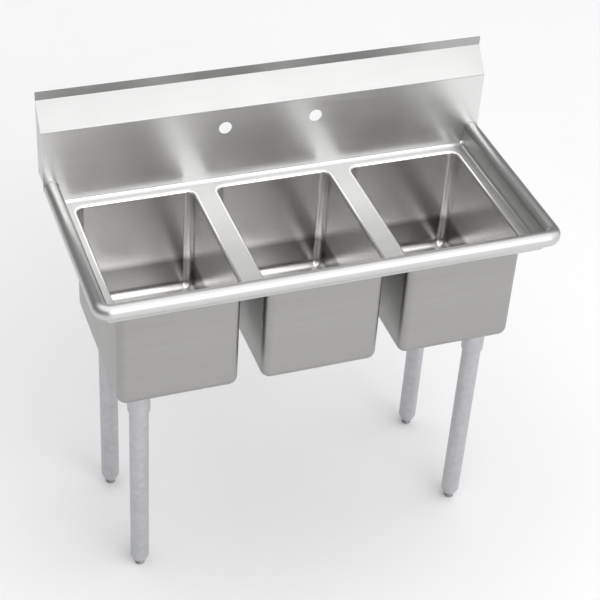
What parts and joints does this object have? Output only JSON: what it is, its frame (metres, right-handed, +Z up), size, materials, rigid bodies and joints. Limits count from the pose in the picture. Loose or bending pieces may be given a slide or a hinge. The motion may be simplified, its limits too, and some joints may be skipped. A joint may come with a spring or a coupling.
{
  "type": "three compartment sink",
  "caption": "Stainless steel catering sink with deep bowls side by side, a rolled rim, a backsplash with faucet holes, tubular legs and lift-out basket drains.",
  "frame": {"origin": "on the floor under the middle of the sink's box", "axes": "+Z up, +Y towards the wall, +X along the wall to the right of a person at the sink"},
  "size_m": [0.9906, 0.496, 1.022],
  "materials": {
    "stainless_sheet": "satin brushed stainless sheet",
    "galvanised_steel": "dull galvanised tube",
    "dark_plated_steel": "dull dark plating",
    "plated_fittings": "polished plating",
    "black_rubber": "matt rubber",
    "fibre": "pressed fibre washer"
  },
  "bodies": {
    "sink": {"deck": "stainless_sheet", "backsplash": "stainless_sheet", "splash_end_cap_left": "stainless_sheet", "splash_end_cap_right": "stainless_sheet", "front_rim": "stainless_sheet", "left_rim": "stainless_sheet", "right_rim": "stainless_sheet", "left_bowl": "stainless_sheet", "center_bowl": "stainless_sheet", "right_bowl": "stainless_sheet", "gusset_front_left": "galvanised_steel", "gusset_front_right": "galvanised_steel", "gusset_rear_left": "galvanised_steel", "gusset_rear_right": "galvanised_steel", "socket_front_left": "galvanised_steel", "socket_front_right": "galvanised_steel", "socket_rear_left": "galvanised_steel", "socket_rear_right": "galvanised_steel", "socket_set_screws": "dark_plated_steel", "leg_front_left": "galvanised_steel", "leg_front_right": "galvanised_steel", "leg_rear_left": "galvanised_steel", "leg_rear_right": "galvanised_steel", "insert_front_left": "galvanised_steel", "insert_front_right": "galvanised_steel", "insert_rear_left": "galvanised_steel", "insert_rear_right": "galvanised_steel", "drain_body_left": "plated_fittings", "drain_gasket_left": "black_rubber", "friction_ring_left": "fibre", "locknut_left": "plated_fittings", "tailpiece_left": "plated_fittings", "coupling_nut_left": "plated_fittings", "drain_body_center": "plated_fittings", "drain_gasket_center": "black_rubber", "friction_ring_center": "fibre", "locknut_center": "plated_fittings", "tailpiece_center": "plated_fittings", "coupling_nut_center": "plated_fittings", "drain_body_right": "plated_fittings", "drain_gasket_right": "black_rubber", "friction_ring_right": "fibre", "locknut_right": "plated_fittings", "tailpiece_right": "plated_fittings", "coupling_nut_right": "plated_fittings"},
    "strainer_left": {"basket_left": "plated_fittings", "stopper_left": "black_rubber", "basket_post_left": "plated_fittings"},
    "strainer_center": {"basket_center": "plated_fittings", "stopper_center": "black_rubber", "basket_post_center": "plated_fittings"},
    "strainer_right": {"basket_right": "plated_fittings", "stopper_right": "black_rubber", "basket_post_right": "plated_fittings"},
    "adjuster_front_left": {"foot_front_left": "dark_plated_steel"},
    "adjuster_front_right": {"foot_front_right": "dark_plated_steel"},
    "adjuster_rear_left": {"foot_rear_left": "dark_plated_steel"},
    "adjuster_rear_right": {"foot_rear_right": "dark_plated_steel"}
  },
  "joints": [
    {"name": "strainer_lift_left", "type": "slide", "parent": "sink", "child": "strainer_left", "axis": [0, 0, 1], "range_m": [0, 0.35]},
    {"name": "strainer_lift_center", "type": "slide", "parent": "sink", "child": "strainer_center", "axis": [0, 0, 1], "range_m": [0, 0.35]},
    {"name": "strainer_lift_right", "type": "slide", "parent": "sink", "child": "strainer_right", "axis": [0, 0, 1], "range_m": [0, 0.35]},
    {"name": "foot_adjust_front_left", "type": "slide", "parent": "sink", "child": "adjuster_front_left", "axis": [0, 0, -1], "range_m": [0, 0.025]},
    {"name": "foot_adjust_front_right", "type": "slide", "parent": "sink", "child": "adjuster_front_right", "axis": [0, 0, -1], "range_m": [0, 0.025]},
    {"name": "foot_adjust_rear_left", "type": "slide", "parent": "sink", "child": "adjuster_rear_left", "axis": [0, 0, -1], "range_m": [0, 0.025]},
    {"name": "foot_adjust_rear_right", "type": "slide", "parent": "sink", "child": "adjuster_rear_right", "axis": [0, 0, -1], "range_m": [0, 0.025]}
  ]
}
